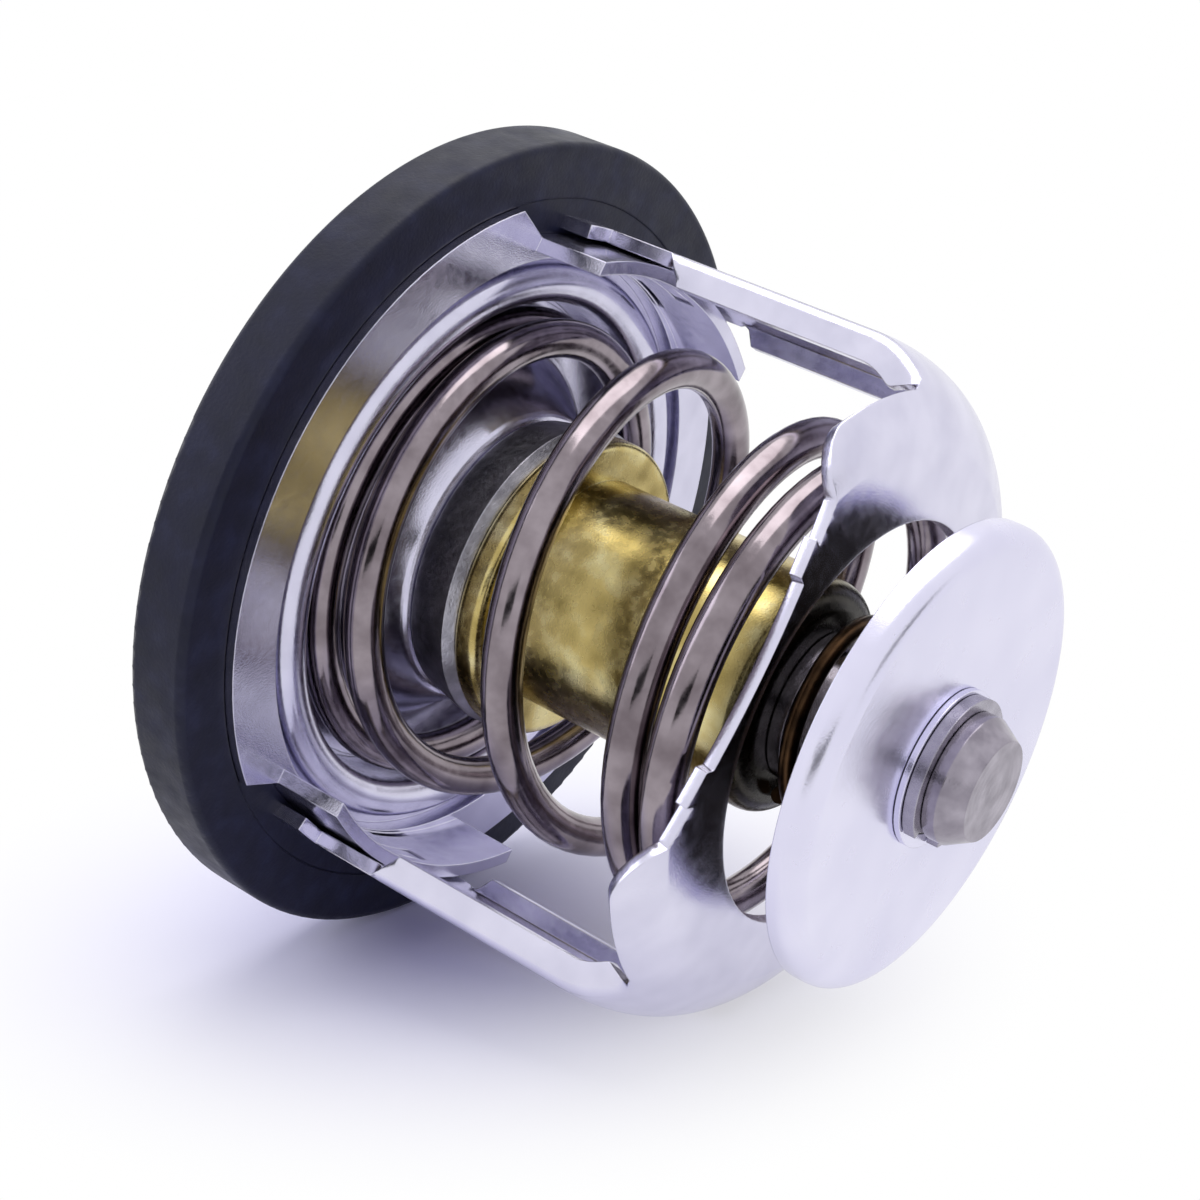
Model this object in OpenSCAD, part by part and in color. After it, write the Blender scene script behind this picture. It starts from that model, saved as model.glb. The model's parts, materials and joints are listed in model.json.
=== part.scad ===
// Coolant thermostat with a bypass disc, lying as it rests: seal rim and frame shoulder on the table.
// Each piece is drawn about its own Z axis, from the cover side (-Z) to the bypass side (+Z), with
// z = 0 in the middle of the seal ring, and lie() then turns the whole part into its resting place.

/* [Seal ring] */
// Outside diameter of the rubber seal
seal_d = 56; // [52:0.5:62]
// Thickness of the rubber seal
seal_t = 4.5; // [3.8:0.1:5.5]
// Width of the rubber from its outside to the bore of its lips
seal_w = 3.6; // [3.2:0.1:4]
// Rounding of the seal's outer edges
seal_round = 0.5; // [0.2:0.1:0.8]

/* [Flange] */
// Sheet thickness of the flange and of the bridge
sheet_t = 0.9; // [0.7:0.05:1.1]
// Width of the flange rim held inside the rubber
rim_w = 2; // [1.2:0.1:2.6]
// Height of the flat land in front of the seal
land_rise = 0.7; // [0.3:0.1:1.2]
// Width of the flat land
land_w = 3.65; // [3.5:0.05:3.8]
// Width of the rolled bead round the well
bead_w = 2.8; // [2.5:0.1:3]
// Width of the seat that the main valve closes on
seat_w = 2.5; // [2.2:0.1:3]
// Depth of the seat behind the front face of the seal
seat_depth = 4.1; // [3.6:0.1:5]
// Half width of the two ears that hold the frame
ear_w = 11; // [10.5:0.1:11.5]
// Radius to which the ears are curved
ear_curve = 26; // [24:0.5:28]
// Half width of the cut-outs that the ears leave in the land
notch_w = 13.9; // [13:0.1:14.4]
// Height of the ears in front of the land
ear_h = 5.2; // [4.6:0.1:5.8]

/* [Lower frame] */
// Sheet thickness of the lower frame
frame_t = 1; // [0.8:0.05:1.2]
// How far the legs stand inside the flange's collar
leg_inset = 1.55; // [1.3:0.05:1.8]
// Width of a leg over its turned-in sides
leg_w = 13; // [12:0.5:14]
// Radius to which the legs are curved across their width
leg_curve = 32; // [28:1:40]
// Half width of a leg's foot
foot_w = 8.9; // [8:0.1:9.4]
// Height of the turned-in sides
leg_side = 2.3; // [1.8:0.1:2.8]
// Height of the frame's end face above the seal's front face
frame_h = 29.9; // [28.5:0.1:31]
// Distance from the outside of the legs to the crease round the end face
crease_w = 4.8; // [4.4:0.1:5.2]
// Radius of the shoulder's bend
shoulder_r = 9; // [8:0.5:9.5]
// Distance from the main spring's mean radius to the hole in the end face
bore_step = 1.8; // [1.6:0.1:2.2]
// Width of the sheet left beside the hole at the straight sides
strip_w = 0.8; // [0.7:0.1:1.5]

/* [Main spring] */
// Wire of the main spring
wire_d = 2.6; // [2.2:0.1:2.7]
// Gap between the main spring and the well
coil_gap = 0.7; // [0.6:0.1:1]
// Closed turns at each end
end_turns = 1.25; // [1:0.05:1.4]
// Open turns between them
open_turns = 2; // [1.5:0.25:2.5]
// How far the open turns bow to one side
coil_bow = 1.2; // [0:0.1:1.5]

/* [Main valve] */
// Thickness of the valve plate
plate_t = 0.9; // [0.7:0.05:1]
// Height of the valve's cone
cone_h = 6.2; // [5.6:0.1:6.8]
// Diameter at the top of the cone
cone_d = 20; // [19.4:0.2:20.6]
// Gap between the foot of the cone and the spring
cone_gap = 0.7; // [0.5:0.1:1]

/* [Capsule] */
// Outside diameter of the brass capsule
capsule_d = 15.7; // [15:0.1:16.2]
// Length of the capsule in front of its rim
capsule_len = 18.8; // [17.8:0.2:19.4]
// Wall of the capsule
capsule_wall = 1.2; // [1:0.1:1.5]
// Diameter of the rolled brass rim
rim_d = 20.8; // [20:0.2:21.2]
// Height of the rolled brass rim
rim_h = 2; // [1.8:0.1:2.4]
// How far the dark guide ring stands out beyond the brass rim
guide_step = 0.2; // [0.1:0.05:0.4]
// How far the brass rim reaches past the bore of the guide ring
rim_lap = 1.55; // [1.4:0.05:1.7]
// Height of the dark guide ring
guide_h = 3.9; // [3.4:0.1:4.4]
// Diameter of the piston pin
piston_d = 4; // [3.6:0.1:4.4]
// Running clearance round the piston pin
piston_gap = 0.04; // [0.02:0.01:0.08]

/* [Bypass disc] */
// Diameter of the bypass disc
disc_d = 30.6; // [29:0.2:32]
// Sheet thickness of the bypass disc
disc_t = 1; // [0.8:0.1:1.2]
// Depth of the disc's turned-back rim
disc_rim = 2; // [1.7:0.1:2.4]
// Front of the disc in front of the frame's end face
disc_reach = 6.3; // [6:0.1:7]
// Diameter of the spindle
spindle_d = 8.4; // [7.6:0.1:8.8]
// Length of the spindle in front of the disc
spindle_out = 3.7; // [3.4:0.1:4.4]
// Running clearance of the disc on the spindle
disc_gap = 0.08; // [0.05:0.01:0.1]
// Wire of the bypass spring
bypass_wire = 1.1; // [0.9:0.1:1.2]

/* [Bridge] */
// Height of the bridge behind the seal
bridge_h = 11.5; // [10:0.5:13]
// Width of the bridge strap
bridge_w = 9; // [8:0.5:11]
// Half length of the bridge's flat top
bridge_top = 5; // [4.6:0.1:6]

/* [Rest] */
// How far the legs are turned round the axis from upright
lie_roll = 27.6; // [0:0.1:30]

/* [Hidden] */
$fn = 96;
contact = 0.05; // gap between faces that only rest on each other
through = 1; // how far a cut runs past a face

// Levels of the flange, from the seal outwards
front = seal_t / 2;
seal_r = seal_d / 2;
collar_r = seal_r - seal_w - contact;
land_z = front + land_rise;
land_r = collar_r - land_w;
groove_w = 0.6;
bead_r = bead_w / 2;
bead_z = land_z + 0.1 - bead_r;
well_r = land_r - groove_w - bead_w;
seat_r = well_r - seat_w;
seat_z = front - seat_depth;
floor_z = bead_z - sheet_t;
notch_x = sqrt(pow(collar_r, 2) - pow(notch_w, 2));
notch_z = sheet_t / 2 + contact;
window_w = 4.6;
window_h = 1.6;
window_gap = 0.15;
slit_w = 4.2;
slit_h = 0.6;
slit_y = 3;

// Levels of the lower frame
face_z = front + frame_h;
leg_r = collar_r - leg_inset;
coil_r = well_r - coil_gap - wire_d / 2;
bore_r = coil_r - bore_step;
waist_w = 2 * (bore_r + strip_w);
dish = 0.7;
crease_r = leg_r - crease_w;
crease_z = face_z - dish;
bend_r = leg_r - shoulder_r;
bend_z = crease_z - sqrt(pow(shoulder_r, 2) - pow(crease_r - bend_r, 2));
bend_end = asin((crease_z - bend_z) / shoulder_r);
tongue_turn = 5;
leg_in = leg_r - frame_t;
foot_z = front - 0.4;
foot_h = 2.7;
root_h = 6.6;
side_z = land_z + root_h;
side_ramp = 1.4;
leg_centre = leg_r - leg_curve;
side_x = leg_centre + sqrt(pow(leg_curve, 2) - pow(leg_w / 2, 2));
lobe_z = bend_z - 0.5;
lobe_round = 4.5;
lobe_fillet = 1;
nib_w = 2.4;
nib_out = 0.5;
nib_x = 7.3;
ear_x = leg_in - contact;
ear_centre = ear_x - ear_curve;
ear_end = ear_centre + sqrt(pow(ear_curve, 2) - pow(ear_w, 2));
hook_z = land_z + ear_h - 0.8 - window_h / 2;
hook_in = 1;

// Levels of the main valve and its spring
plate_z = seat_z + contact;
plate_r = well_r - 0.4;
foot_r = coil_r - wire_d / 2 - cone_gap;
cone_r = cone_d / 2;
cone_top = plate_z + cone_h;
plate_bend = 1.2;
coil_start = 180;
coil_ease = 0.2;
coil_low = plate_z + plate_t + contact;
coil_high = face_z - dish * (coil_r + wire_d / 2 - bore_r) / (crease_r - bore_r) - frame_t - contact;
coil_turns = 2 * end_turns + open_turns;
coil_rise = coil_high - coil_low - wire_d;
end_pitch = 1.06 * wire_d;
open_pitch = (coil_rise - 2 * end_turns * end_pitch) / open_turns;
coil_sides = 10;
coil_steps = 28;

// Levels of the capsule, which is crimped round the cover and stands on the valve plate
capsule_r = capsule_d / 2;
guide_in = rim_d / 2 - rim_lap;
guide_r = rim_d / 2 + guide_step;
guide_taper = 0.7;
skirt_r = guide_in - contact;
skirt_t = 0.6;
mouth_r = skirt_r - skirt_t;
rim_z = cone_top + guide_h;
rim_round = 0.6;
capsule_z = rim_z + rim_h;
capsule_end = capsule_z + capsule_len;
capsule_round = 1.6;
bore_in = capsule_r - capsule_wall;
bore_end = capsule_end - capsule_wall;
piston_r = piston_d / 2;
bush_r = piston_r + piston_gap;
crimp_r = mouth_r - 0.8;
neck_r = crimp_r - 0.45;
neck_lip = 0.8;
nose_r = 4.6;
nose_len = 6.5;
nose_end = cone_top - plate_t - nose_len;
washer_h = 0.8;
washer_r = 4.8;
cover_top = rim_z - contact;
boot_h = 1;
boot_t = 1.1;
boot_r = bush_r + boot_t;
boot_end = bore_end - 4;
wiper_h = 1.2;
wiper_r = 3.2;
wiper_z = nose_end + 0.8;
piston_end = boot_end - boot_t - contact;
chamfer = 0.4;

// Levels of the bypass disc and the spindle it slides on
disc_r = disc_d / 2;
disc_z = face_z + disc_reach;
disc_round = 1.3;
spindle_r = spindle_d / 2;
spindle_end = disc_z + spindle_out;
tail_r = 2.4;
rivet_r = 3.4;
rivet_h = 0.7;
boss_h = 1;
boss_r = spindle_r + 0.8;
taper_h = 1.5;
taper_w = 0.9;
disc_bore = spindle_r + disc_gap;
thrust_z = disc_z + contact;
thrust_t = 0.4;
thrust_r = spindle_r + 1;
clip_z = thrust_z + thrust_t + contact;
clip_t = 0.8;
clip_r = spindle_r + 0.75;
clip_groove = 0.5;
clip_mouth = 24;
spring_low = capsule_end + contact;
spring_high = disc_z - disc_t - contact;
bypass_low_r = boss_r + bypass_wire / 2 + 0.4;
bypass_high_r = bypass_low_r + 1.6;
bypass_turns = 3.25;
bypass_sides = 8;
bypass_steps = 24;

// Levels of the bridge on the cover side and of the cup that holds the piston's end
bridge_z = -front - bridge_h;
strap_in = well_r + sheet_t + 0.3;
strap_out = strap_in + 3;
knee_z = seat_z - sheet_t - 1.2;
strap_bend = 2.2;
bend_steps = 5;
cup_hole = 2.8;
cup_r = 4;
cup_h = 1.8;
cup_lip_r = 3.4;
cup_lip_h = 0.7;
cup_floor = bridge_z - 0.3;

// The table touches the front edge of the seal and the bend of the frame's shoulder
edge_r = seal_r - seal_round - bend_r;
edge_z = bend_z - front + seal_round;
edge_far = sqrt(pow(edge_r, 2) + pow(edge_z, 2));
lie_tilt = asin(edge_r / edge_far) - asin((shoulder_r - seal_round) / edge_far);

// Turns a piece from its own Z axis into its place on the table, where +X is the bypass side
module lie() rotate([0, 90 + lie_tilt, 0]) rotate([0, 0, -lie_roll]) children();

// Outline of Y and Z, made solid along X
module seen_along_x() rotate([90, 0, 90]) linear_extrude(2 * seal_d, center = true) children();

// Outline of X and Z, made solid along Y over a width
module seen_along_y(w) rotate([90, 0, 0]) linear_extrude(w, center = true) children();

// Rectangle between two radii and two levels
module band(r1, r2, z1, z2) translate([r1, z1]) square([r2 - r1, z2 - z1]);

// Bend of sheet with outside radius r and thickness t, from angle a1 to a2 (less than 180 apart)
module sheet_bend(r, t, a1, a2) {
    far = 3 * r;
    mid = (a1 + a2) / 2;
    intersection() {
        difference() {
            circle(r);
            circle(r - t);
        }
        polygon([[0, 0], [far * cos(a1), far * sin(a1)], [far * cos(mid), far * sin(mid)],
            [far * cos(a2), far * sin(a2)]]);
    }
}

// A path with its inner corners rounded to radius r in n steps
function unit(v) = v / norm(v);
function arc_points(p, a, b, r, n) = let (
        half = acos(a * b) / 2,
        centre = p + unit(a + b) * r / sin(half),
        from = p + a * r / tan(half) - centre,
        to = p + b * r / tan(half) - centre
    ) [for (k = [0 : n]) centre + r * unit(from * (n - k) / n + to * k / n)];
function rounded(p, r, n) = [
    p[0],
    for (i = [1 : len(p) - 2])
        each arc_points(p[i], unit(p[i - 1] - p[i]), unit(p[i + 1] - p[i]), r, n),
    p[len(p) - 1]
];

// Outline of a sheet of thickness t that lies to the left of a path
function left_of(p, i) = let (
        last = len(p) - 1,
        a = unit(p[max(i, 1)] - p[max(i, 1) - 1]),
        b = unit(p[min(i + 1, last)] - p[min(i, last - 1)]),
        n = unit([-a[1] - b[1], a[0] + b[0]])
    ) n / (n * [-a[1], a[0]]);
function folded(p, t) = concat(p, [for (i = [len(p) - 1 : -1 : 0]) p[i] + t * left_of(p, i)]);

// Rise after u open turns, with the pitch eased in over w turns each way
function eased(u, w) = u < -w ? 0 : u > w ? u : pow(u + w, 2) / (4 * w);

// Wire of diameter d along a path of [angle, radius, height, shift to -X]
module wire(path, d, sides) {
    points = [for (q = path, k = [0 : sides - 1]) let (a = 360 * k / sides, r = q[1] + d / 2 * cos(a))
        [r * cos(q[0]) - q[3], r * sin(q[0]), q[2] + d / 2 * sin(a)]];
    last = (len(path) - 1) * sides;
    skin = [for (i = [0 : sides : last - 1], k = [0 : sides - 1]) let (j = (k + 1) % sides)
        each [[i + k, i + j, i + sides + j], [i + k, i + sides + j, i + sides + k]]];
    start = [for (k = [sides - 1 : -1 : 0]) k];
    end = [for (k = [0 : sides - 1]) last + k];
    polyhedron(points, concat(skin, [start, end]));
}

// Rubber ring that grips the rim of the flange
module seal_ring() color("#1c1c20") lie() rotate_extrude() difference() {
    union() {
        band(collar_r + contact, seal_r - seal_round, -front, front);
        band(collar_r + contact, seal_r, -front + seal_round, front - seal_round);
        for (s = [-1, 1]) translate([seal_r - seal_round, s * (front - seal_round)]) circle(seal_round);
    }
    band(0, collar_r + rim_w + contact, -sheet_t / 2 - contact, sheet_t / 2 + contact);
}

// Pressed sheet from the rim in the rubber to the valve seat: collar, land, groove, bead and well
module flange_section() {
    band(collar_r - sheet_t, collar_r + rim_w, -sheet_t / 2, sheet_t / 2);
    band(collar_r - sheet_t, collar_r, -sheet_t / 2, land_z);
    band(land_r, collar_r, land_z - sheet_t, land_z);
    band(land_r, land_r + sheet_t, floor_z, land_z);
    band(land_r - groove_w - sheet_t, land_r + sheet_t, floor_z, bead_z);
    translate([well_r + bead_r, bead_z]) difference() {
        circle(bead_r);
        circle(bead_r - sheet_t);
        translate([-2 * bead_r, -2 * bead_r]) square([4 * bead_r, 2 * bead_r]);
    }
    band(well_r, well_r + sheet_t, seat_z - sheet_t, bead_z);
    band(seat_r, well_r + sheet_t, seat_z - sheet_t, seat_z);
}

// Plan of a curved wall on the +X side: outside radius r about x, thickness t and half width w
module curved_wall(x, r, t, w) intersection() {
    translate([x, 0]) difference() {
        circle(r);
        circle(r - t);
    }
    translate([0, -w]) square([x + r + through, 2 * w]);
}

// The ears are cut out of the land and the collar, and folded up
module flange() color("#c9c8d6") lie() {
    difference() {
        rotate_extrude() flange_section();
        for (turn = [0, 180]) rotate([0, 0, turn]) translate([0, 0, notch_z])
            linear_extrude(land_z - notch_z + through) difference() {
                polygon([[ear_end, -ear_w], [notch_x, -notch_w], [seal_r, -notch_w], [seal_r, notch_w],
                    [notch_x, notch_w], [ear_end, ear_w]]);
                translate([ear_centre, 0]) circle(ear_curve);
            }
    }
    difference() {
        for (turn = [0, 180]) rotate([0, 0, turn]) translate([0, 0, land_z - sheet_t])
            linear_extrude(ear_h + sheet_t) curved_wall(ear_centre, ear_curve, sheet_t, ear_w);
        seen_along_x() translate([-window_w / 2, hook_z - window_h / 2]) square([window_w, window_h]);
        seen_along_x() translate([slit_y - slit_w / 2, land_z + contact]) square([slit_w, slit_h]);
    }
}

// Arched strap on the cover side, welded under the flange, which takes the piston's thrust
module bridge() color("#bfbecb") lie() difference() {
    top = floor_z - contact;
    corners = [[strap_out, top], [strap_in, top], [strap_in, knee_z], [bridge_top, bridge_z],
        [-bridge_top, bridge_z], [-strap_in, knee_z], [-strap_in, top], [-strap_out, top]];
    seen_along_y(bridge_w) polygon(folded(rounded(corners, strap_bend, bend_steps), sheet_t));
    translate([0, 0, bridge_z - sheet_t - through]) cylinder(h = sheet_t + 2 * through, r = cup_hole);
}

module piston_seat() color("#8f8e98") lie() rotate_extrude() difference() {
    union() {
        band(0, cup_r, bridge_z + contact, bridge_z + cup_h);
        band(0, cup_hole - contact, bridge_z - sheet_t - cup_lip_h, bridge_z + contact);
        band(0, cup_lip_r, bridge_z - sheet_t - cup_lip_h, bridge_z - sheet_t - contact);
    }
    band(0, bush_r, cup_floor, bridge_z + cup_h + through);
}

module piston() color("#d5d5dc") lie() {
    foot = cup_floor + contact;
    rotate_extrude() polygon([[0, foot], [piston_r - chamfer, foot], [piston_r, foot + chamfer],
        [piston_r, piston_end - chamfer], [piston_r - chamfer, piston_end], [0, piston_end]]);
}

// Outline of the frame as seen from the side of a leg
module frame_outline() {
    top = face_z + through;
    half_leg = leg_w / 2;
    half_waist = waist_w / 2;
    translate([-foot_w, foot_z]) square([2 * foot_w, foot_h]);
    translate([-half_leg, foot_z]) square([leg_w, top - foot_z]);
    translate([-half_waist, lobe_z + lobe_round]) square([waist_w, top - lobe_z - lobe_round]);
    translate([-half_waist + lobe_round, lobe_z]) square([waist_w - 2 * lobe_round, top - lobe_z]);
    for (s = [-1, 1]) {
        translate([s * (half_waist - lobe_round), lobe_z + lobe_round]) circle(lobe_round);
        difference() {
            translate([s * (half_leg + lobe_fillet / 2), lobe_z])
                square([lobe_fillet, 2 * lobe_fillet], center = true);
            translate([s * (half_leg + lobe_fillet), lobe_z - lobe_fillet]) circle(lobe_fillet);
        }
    }
}

// Place on the shoulder's bend at radius r and angle a
function on_bend(r, a) = [bend_r + r * cos(a), bend_z + r * sin(a)];

// Section of the frame from the lobes over the shoulder to the rolled edge of its hole
module frame_section() {
    band(leg_in, leg_r, lobe_z - lobe_fillet, bend_z);
    translate([bend_r, bend_z]) sheet_bend(shoulder_r, frame_t, 0, bend_end);
    // The last point lies inside the bend, so that the end face and the shoulder are one sheet
    polygon([[crease_r, crease_z], [bore_r + frame_t / 2, face_z], [bore_r + frame_t / 2, face_z - frame_t],
        on_bend(shoulder_r - frame_t, bend_end),
        on_bend(shoulder_r - frame_t / 2, bend_end - tongue_turn)]);
    translate([bore_r + frame_t / 2, face_z - frame_t / 2]) circle(frame_t / 2);
}

module lower_frame() color("#cfced9") lie() {
    intersection() {
        union() {
            rotate_extrude() frame_section();
            for (turn = [0, 180]) rotate([0, 0, turn]) translate([0, 0, foot_z])
                linear_extrude(bend_z - foot_z) curved_wall(leg_centre, leg_curve, frame_t, foot_w);
        }
        union() {
            seen_along_x() frame_outline();
            for (s = [-1, 1]) translate([s * nib_x, 0, crease_z])
                cube([nib_w, waist_w + 2 * nib_out, 4 * frame_t], center = true);
        }
    }
    // Turned-in sides of the legs, and the hooks in the ears' windows
    for (s = [-1, 1]) {
        inner = s * (side_x - leg_side);
        outer = s * (side_x - frame_t / 2);
        for (e = [-1, 1]) translate([0, e * (leg_w - frame_t) / 2, 0]) seen_along_y(frame_t)
            polygon([[outer, side_z], [inner, side_z + side_ramp], [inner, lobe_z],
                [outer, lobe_z + side_ramp]]);
        seen_along_y(window_w - 2 * window_gap) translate([s * (ear_x - hook_in / 2), hook_z])
            square([2 * hook_in + sheet_t, window_h - 2 * window_gap], center = true);
    }
}

module main_spring() color("#c4c3cf") lie() {
    path = [for (k = [0 : coil_steps * coil_turns]) let (
            t = k / coil_steps,
            open = eased(t - end_turns, coil_ease) - eased(t - end_turns - open_turns, coil_ease),
            rise = end_pitch * t + (open_pitch - end_pitch) * open
        ) [coil_start + 360 * t, coil_r, coil_low + wire_d / 2 + rise,
            coil_bow * sin(180 * open / open_turns)]];
    wire(path, wire_d, coil_sides);
}

// Valve plate: flat rim on the seat, cone, and a holed top
module valve_plate() color("#c2c1cd") lie() rotate_extrude()
    polygon(folded(rounded([[plate_r, plate_z + plate_t], [foot_r, plate_z + plate_t], [cone_r, cone_top],
        [neck_r, cone_top]], plate_bend, bend_steps), plate_t));

module guide_ring() color("#5d5c66") lie() rotate_extrude() polygon([[guide_in, cone_top + contact],
    [guide_r - guide_taper, cone_top + contact], [guide_r, rim_z - rim_round - contact],
    [guide_r - rim_round, rim_z - contact], [guide_in, rim_z - contact]]);

// Brass cup with its rolled rim and the skirt that is crimped under the cover
module capsule() color("#b8995a") lie() rotate_extrude() difference() {
    union() {
        band(0, skirt_r, cone_top + contact, capsule_z);
        band(0, rim_d / 2, rim_z + rim_round, capsule_z - rim_round);
        band(0, rim_d / 2 - rim_round, rim_z, capsule_z);
        for (z = [rim_z + rim_round, capsule_z - rim_round])
            translate([rim_d / 2 - rim_round, z]) circle(rim_round);
        band(0, capsule_r, rim_z, capsule_end - capsule_round);
        band(0, capsule_r - capsule_round, rim_z, capsule_end);
        translate([capsule_r - capsule_round, capsule_end - capsule_round]) circle(capsule_round);
    }
    band(-through, crimp_r, cone_top, rim_z);
    band(-through, mouth_r, cone_top + contact + skirt_t, rim_z + boot_h + contact);
    band(-through, bore_in, rim_z, bore_end);
    band(-through, tail_r + contact, bore_end - through, capsule_end + through);
}

// Brass cover: flange in the capsule's mouth, neck through the valve plate, and a nose for the piston
module capsule_cover() color("#b09355") lie() rotate_extrude() difference() {
    union() {
        band(bush_r, mouth_r - contact, cone_top + skirt_t + 2 * contact, cover_top);
        band(bush_r, crimp_r - contact, cone_top + contact, cover_top);
        band(bush_r, neck_r - contact, cone_top - plate_t - neck_lip, cover_top);
        band(bush_r, neck_r + neck_lip, cone_top - plate_t - neck_lip, cone_top - plate_t - contact);
        band(bush_r, nose_r, nose_end, cover_top);
    }
    band(0, washer_r + contact, cover_top - washer_h - contact, cover_top + through);
    band(0, wiper_r + contact, wiper_z - contact, wiper_z + wiper_h + contact);
}

module piston_wiper() color("#26262a") lie() rotate_extrude()
    band(bush_r, wiper_r, wiper_z, wiper_z + wiper_h);

module backing_washer() color("#a9a9b2") lie() rotate_extrude()
    band(bush_r, washer_r, cover_top - washer_h, cover_top);

// Rubber boot with a flange in the capsule's mouth and a closed tube over the piston
module boot() color("#2b2b30") lie() rotate_extrude() {
    band(bush_r, mouth_r - contact, rim_z, rim_z + boot_h);
    band(bush_r, boot_r, rim_z, boot_end);
    band(0, boot_r, boot_end - boot_t, boot_end);
}

module wax_charge() color("#c98f4e") lie() rotate_extrude() difference() {
    band(0, bore_in - contact, rim_z + boot_h + 2 * contact, bore_end - contact);
    band(0, boot_r + contact, rim_z, boot_end + contact);
    band(0, rivet_r + contact, bore_end - rivet_h - 2 * contact, bore_end);
}

// Spindle riveted into the end of the capsule, with a boss for the bypass spring and a groove for the clip
module spindle() color("#b3955a") lie() rotate_extrude() difference() {
    union() {
        band(0, rivet_r, bore_end - rivet_h - contact, bore_end - contact);
        band(0, tail_r, bore_end - rivet_h - contact, capsule_end + boss_h);
        band(0, boss_r, capsule_end + contact, capsule_end + boss_h);
        band(0, spindle_r, capsule_end + contact, spindle_end - taper_h);
        polygon([[0, spindle_end - taper_h], [spindle_r, spindle_end - taper_h],
            [spindle_r - taper_w, spindle_end], [0, spindle_end]]);
    }
    band(spindle_r - clip_groove, spindle_r + through, clip_z - contact, clip_z + clip_t + contact);
}

module thrust_washer() color("#bdbdc8") lie() rotate_extrude()
    band(disc_bore, thrust_r, thrust_z, thrust_z + thrust_t);

module spindle_clip() color("#8c8c95") lie() rotate([0, 0, clip_mouth])
    rotate_extrude(angle = 360 - 2 * clip_mouth)
        band(spindle_r - clip_groove + contact, clip_r, clip_z, clip_z + clip_t);

module bypass_disc() color("#c6c5d1") lie() rotate_extrude() {
    band(disc_bore, disc_r - disc_round, disc_z - disc_t, disc_z);
    translate([disc_r - disc_round, disc_z - disc_round]) sheet_bend(disc_round, disc_t, 0, 90);
    band(disc_r - disc_t, disc_r, disc_z - disc_rim, disc_z - disc_round);
}

module bypass_spring() color("#9b9aa6") lie() {
    path = [for (k = [0 : bypass_steps * bypass_turns]) let (f = k / (bypass_steps * bypass_turns))
        [360 * bypass_turns * f, bypass_low_r + (bypass_high_r - bypass_low_r) * f,
            spring_low + bypass_wire / 2 + (spring_high - spring_low - bypass_wire) * f, 0]];
    wire(path, bypass_wire, bypass_sides);
}

seal_ring();
flange();
bridge();
piston_seat();
piston();
lower_frame();
main_spring();
valve_plate();
guide_ring();
capsule();
capsule_cover();
piston_wiper();
backing_washer();
boot();
wax_charge();
spindle();
thrust_washer();
spindle_clip();
bypass_disc();
bypass_spring();
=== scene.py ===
"""Coolant thermostat with a bypass disc, lying on a white table and seen from its engine side."""
import json
import math

import bmesh
import bpy
from mathutils import Matrix, Vector


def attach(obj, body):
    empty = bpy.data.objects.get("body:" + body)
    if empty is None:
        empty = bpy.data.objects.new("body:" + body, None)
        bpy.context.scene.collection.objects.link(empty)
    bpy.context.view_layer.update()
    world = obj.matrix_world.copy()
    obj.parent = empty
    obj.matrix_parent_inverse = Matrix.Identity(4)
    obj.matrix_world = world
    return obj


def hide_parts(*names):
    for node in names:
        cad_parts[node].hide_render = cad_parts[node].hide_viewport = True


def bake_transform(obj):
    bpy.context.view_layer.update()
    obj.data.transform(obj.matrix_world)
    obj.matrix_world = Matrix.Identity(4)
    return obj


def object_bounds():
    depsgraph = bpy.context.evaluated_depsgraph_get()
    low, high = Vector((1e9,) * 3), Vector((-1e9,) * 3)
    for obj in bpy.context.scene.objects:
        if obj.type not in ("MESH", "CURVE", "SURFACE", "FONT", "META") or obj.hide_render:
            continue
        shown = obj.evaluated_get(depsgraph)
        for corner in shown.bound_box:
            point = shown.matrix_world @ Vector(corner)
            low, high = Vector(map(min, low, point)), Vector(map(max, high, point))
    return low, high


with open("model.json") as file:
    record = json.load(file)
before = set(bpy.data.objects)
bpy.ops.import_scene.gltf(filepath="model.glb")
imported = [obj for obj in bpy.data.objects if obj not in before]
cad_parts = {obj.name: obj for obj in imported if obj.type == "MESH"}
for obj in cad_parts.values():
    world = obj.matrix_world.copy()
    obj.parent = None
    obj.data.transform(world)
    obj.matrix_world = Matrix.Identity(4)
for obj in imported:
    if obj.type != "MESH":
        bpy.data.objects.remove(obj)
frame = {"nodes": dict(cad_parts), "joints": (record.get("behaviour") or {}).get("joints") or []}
cad_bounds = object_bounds()

MM = 0.001
PER_MM = 1000

# Turn of the legs round the valve's axis, as in the part's source
LEG_ROLL = math.radians(27.6)

# Sizes of the two springs, as in the part's source. Sides count round the wire, and rings along a turn.
MAIN_WIRE = 2.6 * MM
MAIN_COIL_R = 15.3 * MM
END_TURNS = 1.25
OPEN_TURNS = 2.0
END_PITCH = 1.06
COIL_BOW = 1.2 * MM
COIL_EASE = 0.2
MAIN_SIDES = 28
MAIN_RINGS = 72
BYPASS_WIRE = 1.1 * MM
BYPASS_TURNS = 3.25
BYPASS_LOW_R = 5.95 * MM
BYPASS_HIGH_R = 7.55 * MM
BYPASS_SIDES = 20
BYPASS_RINGS = 64

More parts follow.
